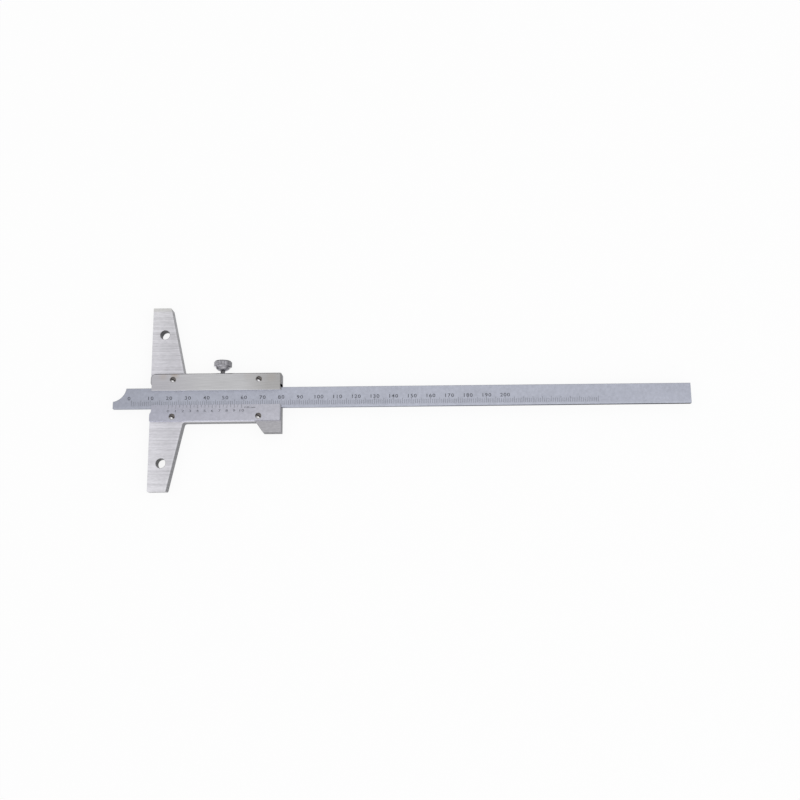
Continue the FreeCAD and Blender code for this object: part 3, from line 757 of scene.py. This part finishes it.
def vernier_numbers(edge, down, normal, ink):
    """The vernier's numbers below its marks, and the unit to their right."""
    figures = []
    for value in range(VERNIER_LAST_NUMBER + 1):
        x = ZERO_SETBACK + value * VERNIER_LENGTH / VERNIER_LAST_NUMBER
        middle = edge + Vector((x, 0, 0)) + down * VERNIER_NUMBER_DROP
        figures.append((str(value), VERNIER_STYLE, middle, -down, normal))
    unit = edge + Vector((ZERO_SETBACK + VERNIER_LENGTH + UNIT_GAP, 0, 0)) + down * UNIT_DROP
    figures.append((UNIT_TEXT, UNIT_STYLE, unit, -down, normal))
    join_figures("vernier_numbers", figures, ink, "frame")


def soft_sky(scene):
    """A grey-white sky, palest overhead, that the camera itself sees as white."""
    world = bpy.data.worlds.new("studio")
    scene.world = world
    world.use_nodes = True
    tree = world.node_tree
    place = tree.nodes.new("ShaderNodeTexCoord")
    split = tree.nodes.new("ShaderNodeSeparateXYZ")
    tree.links.new(place.outputs["Generated"], split.inputs[0])

    def slope(letter, middle, rise):
        """A strength that rises evenly along an axis of the sky."""
        node = tree.nodes.new("ShaderNodeMath")
        node.operation = "MULTIPLY_ADD"
        node.inputs[1].default_value = rise
        node.inputs[2].default_value = middle
        tree.links.new(split.outputs[letter], node.inputs[0])
        return node.outputs["Value"]

    fade = tree.nodes.new("ShaderNodeMapRange")
    fade.inputs["From Min"].default_value = SKY_FADE[0]
    fade.inputs["From Max"].default_value = SKY_FADE[1]
    path = tree.nodes.new("ShaderNodeLightPath")
    strength = tree.nodes.new("ShaderNodeMath")
    strength.operation = "MAXIMUM"
    tree.links.new(split.outputs["Z"], fade.inputs["Value"])
    tree.links.new(slope("Y", *SKY_EDGE), fade.inputs["To Min"])
    tree.links.new(slope("X", *SKY_TOP), fade.inputs["To Max"])
    tree.links.new(fade.outputs["Result"], strength.inputs[0])
    tree.links.new(path.outputs["Is Camera Ray"], strength.inputs[1])
    background = tree.nodes["Background"]
    background.inputs["Color"].default_value = WHITE
    tree.links.new(strength.outputs["Value"], background.inputs["Strength"])


def lay_floor(scene):
    """A square of floor under the object."""
    mesh = bpy.data.meshes.new("floor")
    corners = [(-FLOOR_REACH, -FLOOR_REACH, 0), (FLOOR_REACH, -FLOOR_REACH, 0),
               (FLOOR_REACH, FLOOR_REACH, 0), (-FLOOR_REACH, FLOOR_REACH, 0)]
    mesh.from_pydata(corners, [], [(0, 1, 2, 3)])
    mesh.materials.append(pale_floor())
    floor = bpy.data.objects.new("floor", mesh)
    scene.collection.objects.link(floor)


def hang_lamps(scene):
    """The soft lamps, each turned to the object."""
    for name, place, size, power in LAMPS:
        lamp = bpy.data.lights.new(name, "AREA")
        lamp.energy = power
        lamp.size = size
        holder = bpy.data.objects.new(name, lamp)
        holder.location = place
        holder.rotation_euler = (Vector(LAMP_TARGET) - Vector(place)).to_track_quat("-Z", "Y").to_euler()
        scene.collection.objects.link(holder)


def set_camera(scene):
    """The photograph's camera, with its colours shown as they are."""
    data = bpy.data.cameras.new("camera")
    data.sensor_width = SENSOR_MM
    data.lens = CAMERA_FOCUS_PIXELS / PICTURE_PIXELS * SENSOR_MM
    camera = bpy.data.objects.new("camera", data)
    camera.location = CAMERA_PLACE
    camera.rotation_euler = CAMERA_TURN
    scene.collection.objects.link(camera)
    scene.camera = camera
    scene.view_settings.view_transform = "Standard"


dress(cad_nodes["base_frame"], ground_steel())
dress(cad_nodes["cover_plate"], cover_steel())
dress(cad_nodes["main_beam"], beam_chrome())
dress(cad_nodes["vernier_plate"], vernier_chrome())
dress(cad_nodes["leaf_spring"], spring_bronze())
dress(cad_nodes["clamp_screw"], clamp_steel())
head_steel = screw_steel()
for screw in ("cover_screw_left", "cover_screw_right", "vernier_screw_left", "vernier_screw_right"):
    dress(cad_nodes[screw], head_steel)

beam_low, beam_high = (Vector(corner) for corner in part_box("main_beam"))
plate_low, plate_high = (Vector(corner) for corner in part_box("vernier_plate"))
dark_ink = scale_ink()
bevel_line = vernier_line(plate_low, plate_high)
main_marks(beam_low, beam_high, dark_ink)
main_numbers(beam_low, beam_high, dark_ink)
vernier_marks(*bevel_line, dark_ink)
vernier_numbers(*bevel_line, dark_ink)

scene = bpy.context.scene
lay_floor(scene)
soft_sky(scene)
hang_lamps(scene)
set_camera(scene)
